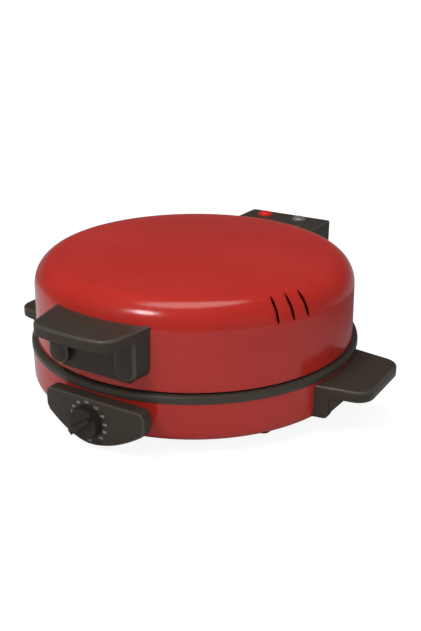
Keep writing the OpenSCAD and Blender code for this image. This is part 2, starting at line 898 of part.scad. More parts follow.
/* Block on the base's back wall with two ears that carry the hinge pins */
module hinge_bracket() {
    block_half_w = ear_x + ear_t + bracket_side;
    block_low = z_seat - bracket_drop - bracket_h;
    block_back = rim_r + bracket_reach;
    color([0.13, 0.12, 0.11])
        placed()
            difference() {
                union() {
                    difference() {
                        translate([-block_half_w, base_r - 20, block_low])
                            cube([2 * block_half_w, block_back - base_r + 20, bracket_h]);
                        base_space();
                        translate([-block_half_w - 1, base_r - 32, 0])
                            cube([2 * block_half_w + 2, 12.5, z_seat]);
                    }
                    for (x = [-ear_x - ear_t, ear_x])
                        translate([x, 0, 0]) {
                            translate([0, axis_y, axis_z])
                                rotate([0, 90, 0])
                                    cylinder(r = ear_r, h = ear_t);
                            rotate([90, 0, 90])
                                linear_extrude(ear_t)
                                    polygon(ear_outline(block_back));
                        }
                }
                for (x = [-ear_x - ear_t - 1, ear_x - 1])
                    translate([x, axis_y, axis_z])
                        rotate([0, 90, 0])
                            cylinder(r = pin_r, h = ear_t + 2);
                for (a = bracket_screw_angles, z = z_bracket_screws)
                    wall_hole(a, base_r, z, screw_grip + slip, screw_r);
            }
}

/* Web from the bracket's block up to the round end of an ear */
function ear_outline(root) = [
    [root - ear_root_t, z_seat - ear_root_low], [root, z_seat - ear_root_low],
    [axis_y + ear_r * cos(-40), axis_z + ear_r * sin(-40)],
    [axis_y, axis_z],
    [axis_y + ear_r * cos(140), axis_z + ear_r * sin(140)],
    [root - 4, z_seat - ear_root_high], [root - ear_root_t, z_seat - ear_root_high]];

module bracket_screws() {
    color([0.6, 0.6, 0.6])
        placed()
            for (a = bracket_screw_angles, z = z_bracket_screws)
                wall_screw(a, base_inner_r, z, sheet_t + screw_grip);
}

/* Steel pin: head inside the ear, shaft through ear and bush, groove for the clip */
module hinge_pin() {
    translate([ear_x - 2.2, axis_y, axis_z])
        rotate([0, 90, 0]) {
            cylinder(r = pin_r + 2, h = 2.2);
            cylinder(r = pin_r, h = pin_end - ear_x + 2.2);
        }
}

module hinge_pin_right() {
    color([0.78, 0.78, 0.78])
        placed()
            hinge_pin();
}

module hinge_pin_left() {
    color([0.78, 0.78, 0.78])
        placed()
            mirror([1, 0, 0])
                hinge_pin();
}

module hinge_clips() {
    color([0.3, 0.3, 0.3])
        placed()
            for (side = [0, 1])
                mirror([side, 0, 0])
                    translate([pin_end - 1.8, axis_y, axis_z])
                        rotate([0, 90, 0])
                            difference() {
                                cylinder(r = pin_r + 2.2, h = 1);
                                translate([0, 0, -1])
                                    cylinder(r = pin_r, h = 3);
                            }
}

/* Painted lid shell with vents cut along its shoulder */
module lid_shell() {
    color([0.62, 0.15, 0.13])
        placed()
            difference() {
                rotate_extrude()
                    polygon(concat(lid_face(0), reversed(lid_face(sheet_t))));
                for (k = [0:vents - 1])
                    rotate([0, 0, vent_angle + k * vent_pitch])
                        vent_cut();
                for (place = concat(handle_screw_places, housing_screw_places, arm_screw_places))
                    wall_hole(place[0], lid_wall_r(place[1]) - sheet_t, z_lid + place[1], 4,
                        screw_r + slip);
            }
}

/* Direction and height above the lid's lower edge of each screw in the lid's wall */
handle_screw_angle = asin(leg_mid_x / lid_r);
handle_screw_places = [for (s = [-1, 1], h = [24, 42]) [-90 + s * handle_screw_angle, h]];
housing_screw_places = [for (s = [-1, 1]) [90 + s * asin(boss_x / lid_r), boss_h - 7]];
arm_screw_places = [for (s = [-1, 1], h = [20, 32]) [90 + s * asin((arm_x - arm_screw_in) / lid_r), h]];

module lid_screws(places, length) {
    for (place = places)
        wall_screw(place[0], lid_wall_r(place[1]) - sheet_t, z_lid + place[1], sheet_t + length);
}

module lid_screw_holes(places, depth) {
    for (place = places)
        wall_hole(place[0], lid_wall_r(place[1]), z_lid + place[1], depth, screw_r);
}

/* A slot along a meridian of the shoulder, between two directions from the shoulder's centre */
module vent_cut() {
    low = 10;
    high = 65;
    translate([0, vent_w / 2, 0])
        rotate([90, 0, 0])
            linear_extrude(vent_w)
                polygon(concat(
                    arc([dome_r, z_wall], shoulder_r + 4, low, high),
                    arc([dome_r, z_wall], shoulder_r - sheet_t - 4, high, low)));
}

/* Black ring pressed into the lid's lower edge; its ledge carries the upper reflector */
trim_r = lid_r - sheet_t;
ledge_r = trim_r - 2.5;
trim_in_r = trim_r - trim_w;
trim_screw_r = 1.5;
module lid_trim_ring() {
    color([0.07, 0.07, 0.07])
        placed()
            difference() {
                rotate_extrude()
                    polygon([[trim_in_r, z_trim], [trim_r - 0.6, z_trim], [trim_r - 0.1, z_lid],
                        [trim_r - 0.3, z_trim + trim_h], [ledge_r, z_trim + trim_h],
                        [ledge_r, z_upper_flange], [trim_in_r, z_upper_flange]]);
                trim_screw_places()
                    translate([0, 0, -foil_t - 2.6])
                        cylinder(r = trim_screw_r, h = 3);
            }
}

module trim_screw_places() {
    for (k = [0:5])
        rotate([0, 0, 15 + 60 * k])
            translate([(ledge_r + trim_in_r) / 2, 0, z_upper_flange + foil_t])
                children();
}

/* Short screws through the upper reflector's flange into the trim ring's ledge */
module trim_screws() {
    color([0.6, 0.6, 0.6])
        placed()
            trim_screw_places()
                screw(foil_t + 2.4, trim_screw_r);
}

module upper_reflector() {
    flange_out = ledge_r - slip;
    mouth_r = pan_r;
    roof_r = pan_r - 5;
    corner = 10;
    color([0.75, 0.75, 0.76])
        placed()
            difference() {
                rotate_extrude()
                    polygon(concat(
                        [[flange_out, z_upper_flange], [flange_out, z_upper_flange + foil_t],
                         [mouth_r + foil_t, z_upper_flange + foil_t]],
                        arc([roof_r - corner, z_upper_roof - corner], corner + foil_t, 0, 90),
                        [[0, z_upper_roof + foil_t], [0, z_upper_roof]],
                        arc([roof_r - corner, z_upper_roof - corner], corner, 90, 0),
                        [[mouth_r, z_upper_flange]]));
                element_legs(upper_loop_r, z_upper_loop, tube_r + 1, lid_r);
                trim_screw_places()
                    translate([0, 0, -foil_t - 1])
                        cylinder(r = trim_screw_r + slip, h = foil_t + 2);
            }
}

module upper_heater() {
    color([0.35, 0.33, 0.32])
        placed()
            element(upper_loop_r, z_upper_loop, pan_r + 3, pan_r + 7);
}

module upper_heater_clips() {
    color([0.7, 0.7, 0.7])
        placed()
            element_clips(upper_loop_r, z_upper_loop, z_upper_roof);
}

/* Lid handle: hollow plate with a lip that follows the lid's curve, two legs, panel between them */
function handle_half(y) = handle_half_w - handle_taper * (y - lid_r);
function handle_outline(d) =
    let (slant = atan(handle_taper),
        front = handle_front - d,
        c = handle_round - d,
        reach = handle_front - handle_round,
        side = handle_half(0) - handle_round / cos(slant),
        lean = 1 + handle_taper * handle_taper,
        cy = (side * handle_taper + sqrt(lean * reach * reach - side * side)) / lean,
        cx = side - handle_taper * cy,
        turn = atan2(cy, cx))
    concat([[-handle_half(handle_y0) + d / cos(slant), -handle_y0]],
        arc([-cx, -cy], c, 180 + slant, 180 + turn),
        [for (i = [1:11]) let (a = 180 + turn + (180 - 2 * turn) * i / 12) front * [cos(a), sin(a)]],
        arc([cx, -cy], c, 360 - turn, 360 - slant),
        [[handle_half(handle_y0) - d / cos(slant), -handle_y0]]);

/* Front outline of a leg, its lower corners rounded */
function leg_outline(half, height) = concat(
    arc([-half + leg_round, leg_round], leg_round, 180, 270),
    arc([half - leg_round, leg_round], leg_round, 270, 360),
    [[half, height], [-half, height]]);

/* One leg, standing just inside the handle's slanting side, its front cut square */
module handle_leg(side, z_low, height, leg_front) {
    side_gap = 0.05;
    slant = atan(handle_taper);
    leg_len = (leg_front - handle_y0) / cos(slant);
    intersection() {
        translate([side * (handle_half(leg_front) - side_gap), -leg_front, z_low])
            rotate([0, 0, -side * slant])
                translate([-side * leg_w / 2, leg_len, 0])
                    rotate([90, 0, 0])
                        linear_extrude(leg_len + leg_w)
                            polygon(leg_outline(leg_w / 2, height));
        translate([-handle_half_w - leg_w, -leg_front, z_low])
            cube([2 * (handle_half_w + leg_w), leg_front - handle_y0, height]);
    }
}

module lid_handle() {
    recess_drop = 4.2;
    z_top = z_lid + handle_rise;
    z_lip = z_top - lip_h;
    z_low = z_lid + leg_bottom;
    leg_front = handle_front - leg_setback;
    panel_front = leg_front - recess_depth;
    color([0.13, 0.12, 0.11])
        placed()
            difference() {
                union() {
                    difference() {
                        translate([0, 0, z_lip])
                            linear_extrude(lip_h)
                                polygon(handle_outline(0));
                        translate([0, 0, z_lip - 1])
                            linear_extrude(lip_h - mould_t)
                                polygon(handle_outline(mould_t));
                    }
                    for (side = [-1, 1])
                        handle_leg(side, z_low, z_top - 1 - z_low, leg_front);
                    translate([-leg_mid_x, -panel_front, z_low - recess_drop])
                        cube([2 * leg_mid_x, panel_front - handle_y0, z_top - z_low]);
                }
                lid_space();
                translate([0, 0, z_lid - 20])
                    cylinder(r = lid_top_r - 1, h = 200);
                lid_screw_holes(handle_screw_places, lid_screw_grip + slip);
            }
}

module lid_handle_screws() {
    color([0.6, 0.6, 0.6])
        placed()
            lid_screws(handle_screw_places, lid_screw_grip);
}

/* Hollow housing on the lid's back wall that hides the hinge and carries the lamps */
module hinge_housing() {
    round_r = 4;
    y0 = lid_r - 34;
    color([0.13, 0.13, 0.12])
        placed()
            difference() {
                translate([0, 0, z_housing])
                    linear_extrude(z_housing_top - z_housing)
                        polygon(concat([[-housing_half_w, y0], [housing_half_w, y0]],
                            arc([housing_half_w - round_r, housing_back - round_r], round_r, 0, 90),
                            arc([-housing_half_w + round_r, housing_back - round_r], round_r, 90, 180)));
                translate([-housing_half_w + mould_t, y0 - 1, z_housing - 1])
                    cube([2 * (housing_half_w - mould_t), housing_back - mould_t - y0 + 1,
                        z_housing_top - mould_t - z_housing + 1]);
                lid_space();
                translate([0, 0, z_lid - 20])
                    cylinder(r = dome_r + 2, h = 200);
                for (x = lens_x)
                    translate([x, lamp_y, z_housing_top - mould_t - 1])
                        cylinder(r = lens_r - 1, h = 10);
            }
    color([0.13, 0.13, 0.12])
        placed()
            difference() {
                for (x = [-boss_x, boss_x])
                    translate([x - 5, lid_r - 10, z_boss_top - 14])
                        cube([10, housing_reach + 10 - mould_t + eps, 14]);
                lid_space();
                lid_screw_holes(housing_screw_places, lid_screw_grip + slip);
            }
}
lens_x = [lamp_mid_x - lens_pitch / 2, lamp_mid_x + lens_pitch / 2];

module housing_screws() {
    color([0.6, 0.6, 0.6])
        placed()
            lid_screws(housing_screw_places, lid_screw_grip);
}

/* Steel arm from the lid's wall to the hinge axis, with a curved foot screwed to the lid */
module hinge_arm() {
    foot_x0 = arm_x - 13;
    foot_t = 2;
    foot_low = z_lid + 14;
    foot_high = z_lid + 38;
    difference() {
        union() {
            translate([arm_x, axis_y, axis_z])
                rotate([0, 90, 0])
                    cylinder(r = ear_r, h = arm_t);
            translate([arm_x, 0, 0])
                rotate([90, 0, 90])
                    linear_extrude(arm_t)
                        polygon([[axis_y, axis_z], [axis_y + ear_r * cos(60), axis_z + ear_r * sin(60)],
                            [lid_r - 4, foot_high], [lid_r - 12, foot_high], [lid_r - 12, foot_low],
                            [lid_r + 2, foot_low - 2],
                            [axis_y + ear_r * cos(225), axis_z + ear_r * sin(225)]]);
            intersection() {
                translate([foot_x0, lid_r - 30, foot_low])
                    cube([arm_x + arm_t - foot_x0, 40, foot_high - foot_low]);
                cylinder(r = lid_r + foot_t, h = 200);
            }
        }
        lid_space();
        translate([0, 0, z_lid - 20])
            cylinder(r = lid_r - 10, h = 300);
        translate([arm_x - 1, axis_y, axis_z])
            rotate([0, 90, 0])
                cylinder(r = bush_r, h = arm_t + 2);
        lid_screw_holes(arm_screw_places, 10);
    }
}

module hinge_arm_right() {
    color([0.7, 0.7, 0.7])
        placed()
            hinge_arm();
}

module hinge_arm_left() {
    color([0.7, 0.7, 0.7])
        placed()
            mirror([1, 0, 0])
                hinge_arm();
}

module arm_screws() {
    color([0.6, 0.6, 0.6])
        placed()
            lid_screws(arm_screw_places, arm_screw_grip);
}

/* Brass bush in the arm, turning on the pin */
module hinge_bush() {
    translate([arm_x - 0.6, axis_y, axis_z])
        rotate([0, 90, 0])
            difference() {
                cylinder(r = bush_r, h = arm_t + 1.2);
                translate([0, 0, -1])
                    cylinder(r = pin_r + run_fit, h = arm_t + 4);
            }
}

module hinge_bush_right() {
    color([0.8, 0.65, 0.3])
        placed()
            hinge_bush();
}

module hinge_bush_left() {
    color([0.8, 0.65, 0.3])
        placed()
            mirror([1, 0, 0])
                hinge_bush();
}

/* Domed lens with a stem through the housing's top */
module lens(x) {
    edge_h = 1.5;
    dome_h = 2.8;
    ball_r = (lens_r * lens_r + dome_h * dome_h) / (2 * dome_h);
    placed()
        translate([x, lamp_y, z_housing_top]) {
            cylinder(r = lens_r, h = edge_h);
            translate([0, 0, edge_h])
                intersection() {
                    translate([0, 0, dome_h - ball_r])
                        sphere(r = ball_r);
                    cylinder(r = lens_r, h = dome_h + 1);
                }
            difference() {
                translate([0, 0, -8])
                    cylinder(r = lens_r - 1 - slip / 2, h = 8 + eps);
                translate([0, 0, -9])
                    cylinder(r = lens_r - 3, h = 8.2);
            }
        }
}

module red_lens() {
    color([0.9, 0.12, 0.08])
        lens(lens_x[0]);
}

module clear_lens() {
    color([0.6, 0.58, 0.56])
        lens(lens_x[1]);
}

/* Small board across the housing's two bosses; the lamps stand on it under their lenses */
board_t = 1.6;
module lamp_board() {
    board_w = 16;
    color([0.62, 0.5, 0.3])
        placed()
            translate([lens_x[0] - 10, lamp_y - board_w / 2, z_boss_top])
                cube([lens_pitch + 20, board_w, board_t]);
}

/* Neon lamp inside its lens's stem, on two bare leads from the board */
module lamp(x) {
    z_board = z_boss_top + board_t;
    z_bulb = z_housing_top - 16;
    placed()
        translate([x, lamp_y, 0]) {
            translate([0, 0, z_bulb]) {
                cylinder(r = lamp_r, h = 10);
                translate([0, 0, 10])
                    sphere(r = lamp_r);
            }
            for (s = [-1, 1])
                translate([s * 1.2, 0, z_board])
                    cylinder(r = 0.5, h = z_bulb - z_board + 1);
        }
}

module red_lamp() {
    color([0.95, 0.6, 0.4])
        lamp(lens_x[0]);
}

module clear_lamp() {
    color([0.95, 0.8, 0.6])
        lamp(lens_x[1]);
}

base_shell();
bottom_cover();
cover_screws();
foot_front_left();
foot_front_right();
foot_rear_left();
foot_rear_right();
rim_ring();
lower_pan();
lower_reflector();
reflector_screws();
lower_heater();
lower_heater_clips();
thermostat();
thermostat_nut();
thermal_fuse();
fuse_strap();
terminal_block();
internal_leads();
cord_bush();
dial_panel();
panel_screws();
dial_shaft();
dial_knob();
handle_left();
handle_right();
side_handle_screws();
hinge_bracket();
bracket_screws();
hinge_pin_left();
hinge_pin_right();
hinge_clips();
lid_shell();
lid_trim_ring();
upper_reflector();
trim_screws();
upper_heater();
upper_heater_clips();
lid_handle();
lid_handle_screws();
hinge_housing();
housing_screws();
hinge_arm_left();
hinge_arm_right();
arm_screws();
hinge_bush_left();
hinge_bush_right();
red_lens();
clear_lens();
lamp_board();
red_lamp();
clear_lamp();
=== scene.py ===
from math import asin, atan2, cos, degrees, pi, radians, sin

import bmesh
import bpy
from mathutils import Matrix, Vector


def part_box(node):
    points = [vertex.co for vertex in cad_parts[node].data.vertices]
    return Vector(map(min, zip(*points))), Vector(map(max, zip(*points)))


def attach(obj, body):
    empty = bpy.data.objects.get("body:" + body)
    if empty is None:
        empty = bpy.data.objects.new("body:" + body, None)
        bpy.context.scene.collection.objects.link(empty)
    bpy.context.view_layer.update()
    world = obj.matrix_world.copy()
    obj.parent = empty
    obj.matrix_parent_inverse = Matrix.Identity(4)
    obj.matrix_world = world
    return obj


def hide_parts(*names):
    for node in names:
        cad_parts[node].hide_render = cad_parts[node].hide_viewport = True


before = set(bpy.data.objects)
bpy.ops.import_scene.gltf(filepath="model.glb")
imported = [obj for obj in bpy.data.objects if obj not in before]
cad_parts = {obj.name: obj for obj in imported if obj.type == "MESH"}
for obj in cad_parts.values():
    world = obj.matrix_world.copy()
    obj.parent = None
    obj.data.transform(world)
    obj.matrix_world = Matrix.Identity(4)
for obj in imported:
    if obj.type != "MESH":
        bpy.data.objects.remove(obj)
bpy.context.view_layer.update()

MM = 0.001


# ---------------------------------------------------------------------------
# The room: a plain white studio over a pale floor. Broad soft lamps stand at
# the front left and the right, one hangs overhead and a small one draws the
# glint on the lid's shoulder.
# ---------------------------------------------------------------------------

class Wire:
    """A socket in a material's node tree. Shader maths is written as expressions on it."""

    def __init__(self, tree, socket=None):
        self.tree = tree
        self.socket = socket

    def node(self, kind, settings=None, inputs=None, output=0):
        """A new node of that type, its settings made first and then its inputs' values or links."""
        made = self.tree.nodes.new("ShaderNode" + kind)
        for key, value in (settings or {}).items():
            setattr(made, key, value)
        for key, value in (inputs or {}).items():
            if isinstance(value, Wire):
                self.tree.links.new(value.socket, made.inputs[key])
            else:
                made.inputs[key].default_value = value
        return Wire(self.tree, made.outputs[output])

    def maths(self, operation, *values):
        return self.node("Math", {"operation": operation}, dict(enumerate(values)))

    def __add__(self, other):
        return self.maths("ADD", self, other)

    __radd__ = __add__

    def __sub__(self, other):
        return self.maths("SUBTRACT", self, other)

    def __rsub__(self, other):
        return self.maths("SUBTRACT", other, self)

    def __mul__(self, other):
        return self.maths("MULTIPLY", self, other)

    __rmul__ = __mul__

    def stepped(self, low, high):
        """0 below low, 1 above high, smooth between."""
        return self.node("MapRange", {"interpolation_type": "SMOOTHSTEP"},
                         {"Value": self, "From Min": low, "From Max": high})

    def blended(self, first, second):
        """The first colour where this is 0, the second where it is 1. The Mix node's colours are 6 and 7."""
        return self.node("Mix", {"data_type": "RGBA"}, {0: self, 6: first, 7: second}, 2)


def new_material(name):
    material = bpy.data.materials.new(name)
    material.use_nodes = True
    material.node_tree.nodes.clear()
    return material, Wire(material.node_tree)


def set_surface(start, shader, output="OutputMaterial"):
    end = start.tree.nodes.new("ShaderNode" + output)
    start.tree.links.new(shader.socket, end.inputs["Surface"])


WHITE = (1, 1, 1, 1)
FLOOR_HALF = 3.0
floor_mesh = bmesh.new()
bmesh.ops.create_grid(floor_mesh, x_segments=1, y_segments=1, size=FLOOR_HALF)
floor_data = bpy.data.meshes.new("studio_floor")
floor_mesh.to_mesh(floor_data)
floor_mesh.free()
floor = bpy.data.objects.new("studio_floor", floor_data)
bpy.context.scene.collection.objects.link(floor)
floor_material, start = new_material("studio_floor")
# The floor throws light back on the object, more in front than close behind. The camera sees it near white.
along_y = start.node("SeparateXYZ", None, {0: start.node("TexCoord", None, None, "Object")}, 1)
behind = along_y.stepped(0.0, 0.3) * (1 - 0.5 * along_y.stepped(0.34, 0.46))
floor_tone = behind.blended((0.55, 0.55, 0.55, 1), (0.12, 0.12, 0.12, 1))
pale = start.node("BsdfDiffuse", None, {"Color": floor_tone})
glow = start.node("Emission", None, {"Color": WHITE, "Strength": 0.90})
shade = start.node("BsdfDiffuse", None, {"Color": (0.20, 0.20, 0.20, 1)})
seen_floor = start.node("AddShader", None, {0: glow, 1: shade})
to_camera = start.node("LightPath", None, None, "Is Camera Ray")
set_surface(start, start.node("MixShader", None, {0: to_camera, 1: pale, 2: seen_floor}))
floor_data.materials.append(floor_material)

# Reflections see a dim room, a little brighter near the floor. The camera sees plain white.
world = bpy.data.worlds.new("studio")
bpy.context.scene.world = world
world.use_nodes = True
world.node_tree.nodes.clear()
start = Wire(world.node_tree)
up = start.node("SeparateXYZ", None, {0: start.node("TexCoord", None, None, "Generated")}, 2)
from_sky = 0.42 + 0.24 * up.stepped(0.3, 1.0)
from_floor = 0.06 + 0.10 * up.stepped(0.20, 0.0)
soft_light = start.node("Background", None, {"Color": WHITE, "Strength": from_sky})
in_gloss = start.node("Background", None, {"Color": WHITE, "Strength": from_floor})
backdrop = start.node("Background", None, {"Color": WHITE, "Strength": 1.0})
to_gloss = start.node("LightPath", None, None, "Is Glossy Ray")
seen = start.maths("MAXIMUM", start.node("LightPath", None, None, "Is Camera Ray"),
                   start.node("LightPath", None, None, "Is Transmission Ray"))
lit = start.node("MixShader", None, {0: to_gloss, 1: soft_light, 2: in_gloss})
set_surface(start, start.node("MixShader", None, {0: seen, 1: lit, 2: backdrop}), "OutputWorld")


def soft_lamp(name, place, target, width, height, power):
    """An oval lamp, its width and height in metres and power in watts, that shines from place to target."""
    light = bpy.data.lights.new(name, "AREA")
    light.shape = "ELLIPSE"
    light.size = width
    light.size_y = height
    light.energy = power
    lamp = bpy.data.objects.new(name, light)
    bpy.context.scene.collection.objects.link(lamp)
    aim = (Vector(target) - Vector(place)).to_track_quat("-Z", "Y")
    lamp.matrix_world = Matrix.Translation(place) @ aim.to_matrix().to_4x4()
    return lamp


soft_lamp("broad_lamp", (-0.9, -2.2, 3.0), (0, 0, 0.08), 2.6, 2.6, 20).visible_glossy = False
soft_lamp("side_lamp", (2.4, -0.9, 0.9), (0, 0, 0.08), 1.6, 1.6, 9).visible_glossy = False
soft_lamp("top_lamp", (-0.14, 0.08, 2.0), (0, 0, 0.14), 1.40, 0.85, 11.3)
soft_lamp("glint_lamp", (-0.25, -1.20, 1.57), (0.04, -0.16, 0.13), 0.42, 0.36, 10.5)

CAMERA_PLACE = Vector((0.4519, -0.7151, 0.4058))
CAMERA_BACK = Vector((0.4848, -0.7916, 0.3718)).normalized()
camera_right = Vector((-0.1961, 0.3160, 0.9283)).cross(CAMERA_BACK).normalized()
camera_data = bpy.data.cameras.new("camera")
camera_data.lens = 48.90
camera_data.sensor_width = 36
camera_data.clip_start = 0.01
camera = bpy.data.objects.new("camera", camera_data)
bpy.context.scene.collection.objects.link(camera)
turned = Matrix((camera_right, CAMERA_BACK.cross(camera_right), CAMERA_BACK)).transposed()
camera.matrix_world = Matrix.Translation(CAMERA_PLACE) @ turned.to_4x4()
bpy.context.scene.camera = camera
bpy.context.scene.view_settings.view_transform = "Standard"


# ---------------------------------------------------------------------------
# Base shell: a shallow bowl pressed from 1 mm steel and stoved in red enamel.
# Its lower edge is rolled in to a narrow flange that the cover screws to.
# ---------------------------------------------------------------------------

base_low, base_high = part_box("base_shell")
MIDDLE = Vector(((base_low.x + base_high.x) / 2, (base_low.y + base_high.y) / 2, 0))
BASE_R = (base_high.x - base_low.x) / 2
SHEET = 1.0 * MM
BASE_ROUND = 11.4 * MM
BASE_FLANGE = 9 * MM
ARC_STEPS = 14


def arc(centre_r, centre_z, radius, first, last, steps):
    """Points of an arc in a profile of radius and height, its angles in degrees up from outwards."""
    turns = [radians(first + (last - first) * i / steps) for i in range(steps + 1)]
    return [(centre_r + radius * cos(turn), centre_z + radius * sin(turn)) for turn in turns]


def spun(profile, closed=True, steps=160, middle=MIDDLE):
    """A bmesh of a profile of radius and height, in metres, spun about the upright line through middle."""
    bm = bmesh.new()
    verts = [bm.verts.new((middle.x + r, middle.y, z)) for r, z in profile]
    edges = [bm.edges.new(pair) for pair in zip(verts, verts[1:])]
    if closed:
        edges.append(bm.edges.new((verts[-1], verts[0])))
    bmesh.ops.spin(bm, geom=verts + edges, cent=(middle.x, middle.y, 0), axis=(0, 0, 1), dvec=(0, 0, 0),
                   angle=2 * pi, steps=steps, use_merge=True)
    bmesh.ops.remove_doubles(bm, verts=bm.verts, dist=1e-5)
    bmesh.ops.recalc_face_normals(bm, faces=bm.faces)
    return bm


def piece(name, bm, body, slot, material, *nodes, crease=35):
    """An object of the bmesh that rides on a body and stands for its CAD nodes. Bends over crease, in degrees,
    stay crisp."""
    bm.normal_update()
    for edge in bm.edges:
        edge.smooth = len(edge.link_faces) == 2 and edge.calc_face_angle(0) < radians(crease)
    for face in bm.faces:
        face.smooth = True
    data = bpy.data.meshes.new(name)
    bm.to_mesh(data)
    bm.free()
    data.materials.append(material)
    made = bpy.data.objects.new(name, data)
    bpy.context.scene.collection.objects.link(made)
    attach(made, body)
    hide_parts(*nodes)
    return made


def noise(start, scale, detail=2.0, where=None):
    """Cloudy variation about 0.5, its scale in waves per metre of the object's own space."""
    return start.node("TexNoise", None, {"Vector": where or start.node("TexCoord", None, None, "Object"),
                                         "Scale": scale, "Detail": detail})


def surface(start, colour, roughness, metallic=0.0, bump=None, depth=0.0001, **constants):
    """Ends a material in a Principled shader; wires vary over the surface and numbers are constant."""
    inputs = {"Base Color": colour, "Roughness": roughness, "Metallic": metallic}
    if bump is not None:
        inputs["Normal"] = start.node("Bump", None, {"Distance": depth, "Height": bump})
    inputs.update({key.replace("_", " "): value for key, value in constants.items()})
    set_surface(start, start.node("BsdfPrincipled", None, inputs))


RED, start = new_material("red_enamel")
drift = noise(start, 9)
peel = noise(start, 500)
waves = noise(start, 45, 1)
rubs = noise(start, 70, 4).stepped(0.58, 0.75)
paint = drift.stepped(0.3, 0.7).blended((0.415, 0.021, 0.015, 1), (0.445, 0.025, 0.018, 1))
surface(start, (0.12 * rubs).blended(paint, (0.50, 0.05, 0.04, 1)), 0.155 + 0.05 * rubs + 0.03 * drift,
        bump=0.25 * peel + waves, depth=0.00003, Specular_IOR_Level=0.4)

profile = [(BASE_R, base_high.z), (BASE_R, base_low.z + 2 * BASE_ROUND)]
profile += arc(BASE_R - BASE_ROUND, base_low.z + BASE_ROUND, BASE_ROUND, 0, -90, ARC_STEPS)
profile += [(BASE_R - BASE_ROUND - BASE_FLANGE, base_low.z),
            (BASE_R - BASE_ROUND - BASE_FLANGE, base_low.z + SHEET)]
profile += arc(BASE_R - BASE_ROUND, base_low.z + BASE_ROUND, BASE_ROUND - SHEET, -90, 0, ARC_STEPS)
profile += [(BASE_R - SHEET, base_low.z + 2 * BASE_ROUND), (BASE_R - SHEET, base_high.z)]
piece("base_shell_enamelled", spun(profile), "base", "red_paint", RED, "base_shell")


# ---------------------------------------------------------------------------
# Bottom cover: a flat plate of black-enamelled sheet with three rows of
# punched slots for cooling, held to the shell's flange by four screws.
# ---------------------------------------------------------------------------

BLACK_ENAMEL, start = new_material("black_enamel")
grain = noise(start, 900)
worn = noise(start, 30, 5).stepped(0.62, 0.80)
surface(start, (0.5 * worn).blended((0.020, 0.020, 0.021, 1), (0.060, 0.056, 0.052, 1)), 0.45 + 0.2 * worn,
        bump=grain, depth=0.00004)


def clad(node, material):
    """Gives a CAD node that is right as it stands its finish."""
    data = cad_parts[node].data
    data.materials.clear()
    data.materials.append(material)


clad("bottom_cover", BLACK_ENAMEL)


# ---------------------------------------------------------------------------
# Screws: zinc-plated self-tapping screws, all driven from inside or below, so
# they show only with the appliance turned over or the lid open.
# ---------------------------------------------------------------------------

ZINC, start = new_material("zinc_plated_steel")
blotch = noise(start, 220, 3)
turning = noise(start, 2200, 1)
surface(start, blotch.blended((0.50, 0.49, 0.46, 1), (0.68, 0.67, 0.64, 1)), 0.30 + 0.15 * blotch, 1.0,
        bump=turning, depth=0.00002)
for node in ("cover_screws", "reflector_screws", "panel_screws", "side_handle_screws", "bracket_screws",
             "trim_screws", "lid_handle_screws", "housing_screws", "arm_screws"):
    clad(node, ZINC)


# ---------------------------------------------------------------------------
# Feet: four moulded rubber studs, their stems pushed through the cover and
# snapped behind it. Each tapers to a worn, dusty face that rests on the table.
# ---------------------------------------------------------------------------

RUBBER, start = new_material("black_rubber")
skin = noise(start, 1400)
height = start.node("SeparateXYZ", None, {0: start.node("TexCoord", None, None, "Object")}, 2)
near_table = 1 - height.stepped(0.0005, 0.004)
dusty = near_table * noise(start, 160, 4)
surface(start, dusty.blended((0.016, 0.016, 0.016, 1), (0.095, 0.090, 0.082, 1)), 0.75 - 0.12 * skin,
        bump=skin, depth=0.00008)
FOOT_DISH = 0.6 * MM
FOOT_STEM_R = 3 * MM
FOOT_TIP_R = 2 * MM
FOOT_BARB_R = 4.2 * MM
FOOT_TAPER = 1.5 * MM
FOOT_TOE_ROUND = 1 * MM
FOOT_TOP_ROUND = 0.6 * MM
for node in ("foot_front_left", "foot_front_right", "foot_rear_left", "foot_rear_right"):
    low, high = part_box(node)
    foot_r = (high.x - low.x) / 2
    toe_r = foot_r - FOOT_TAPER - FOOT_TOE_ROUND
    seat_z = base_low.z - SHEET
    profile = [(0, FOOT_DISH), (FOOT_STEM_R, FOOT_DISH), (FOOT_BARB_R, 0), (toe_r, 0)]
    profile += arc(toe_r, FOOT_TOE_ROUND, FOOT_TOE_ROUND, -90, -8, 5)
    profile += arc(foot_r - FOOT_TOP_ROUND, seat_z - FOOT_TOP_ROUND, FOOT_TOP_ROUND, 0, 90, 3)
    profile += [(FOOT_STEM_R, seat_z), (FOOT_STEM_R, base_low.z), (FOOT_BARB_R, base_low.z),
                (FOOT_TIP_R, high.z), (0, high.z)]
    bm = spun(profile, closed=False, steps=48, middle=(low + high) / 2)
    piece(node + "_rubber", bm, "base", "rubber", RUBBER, node)


# ---------------------------------------------------------------------------
# Rim ring: a heat-resistant moulding pressed over the base shell's edge. Its
# top corner is generously rounded and it carries the baking pan's flange.
# ---------------------------------------------------------------------------

RIM_PLASTIC, start = new_material("rim_plastic")
satin = noise(start, 1300)
patches = noise(start, 25, 3)
surface(start, patches.blended((0.044, 0.037, 0.029, 1), (0.054, 0.046, 0.036, 1)), 0.34 + 0.08 * satin,
        bump=satin, depth=0.00003, Specular_IOR_Level=0.3)

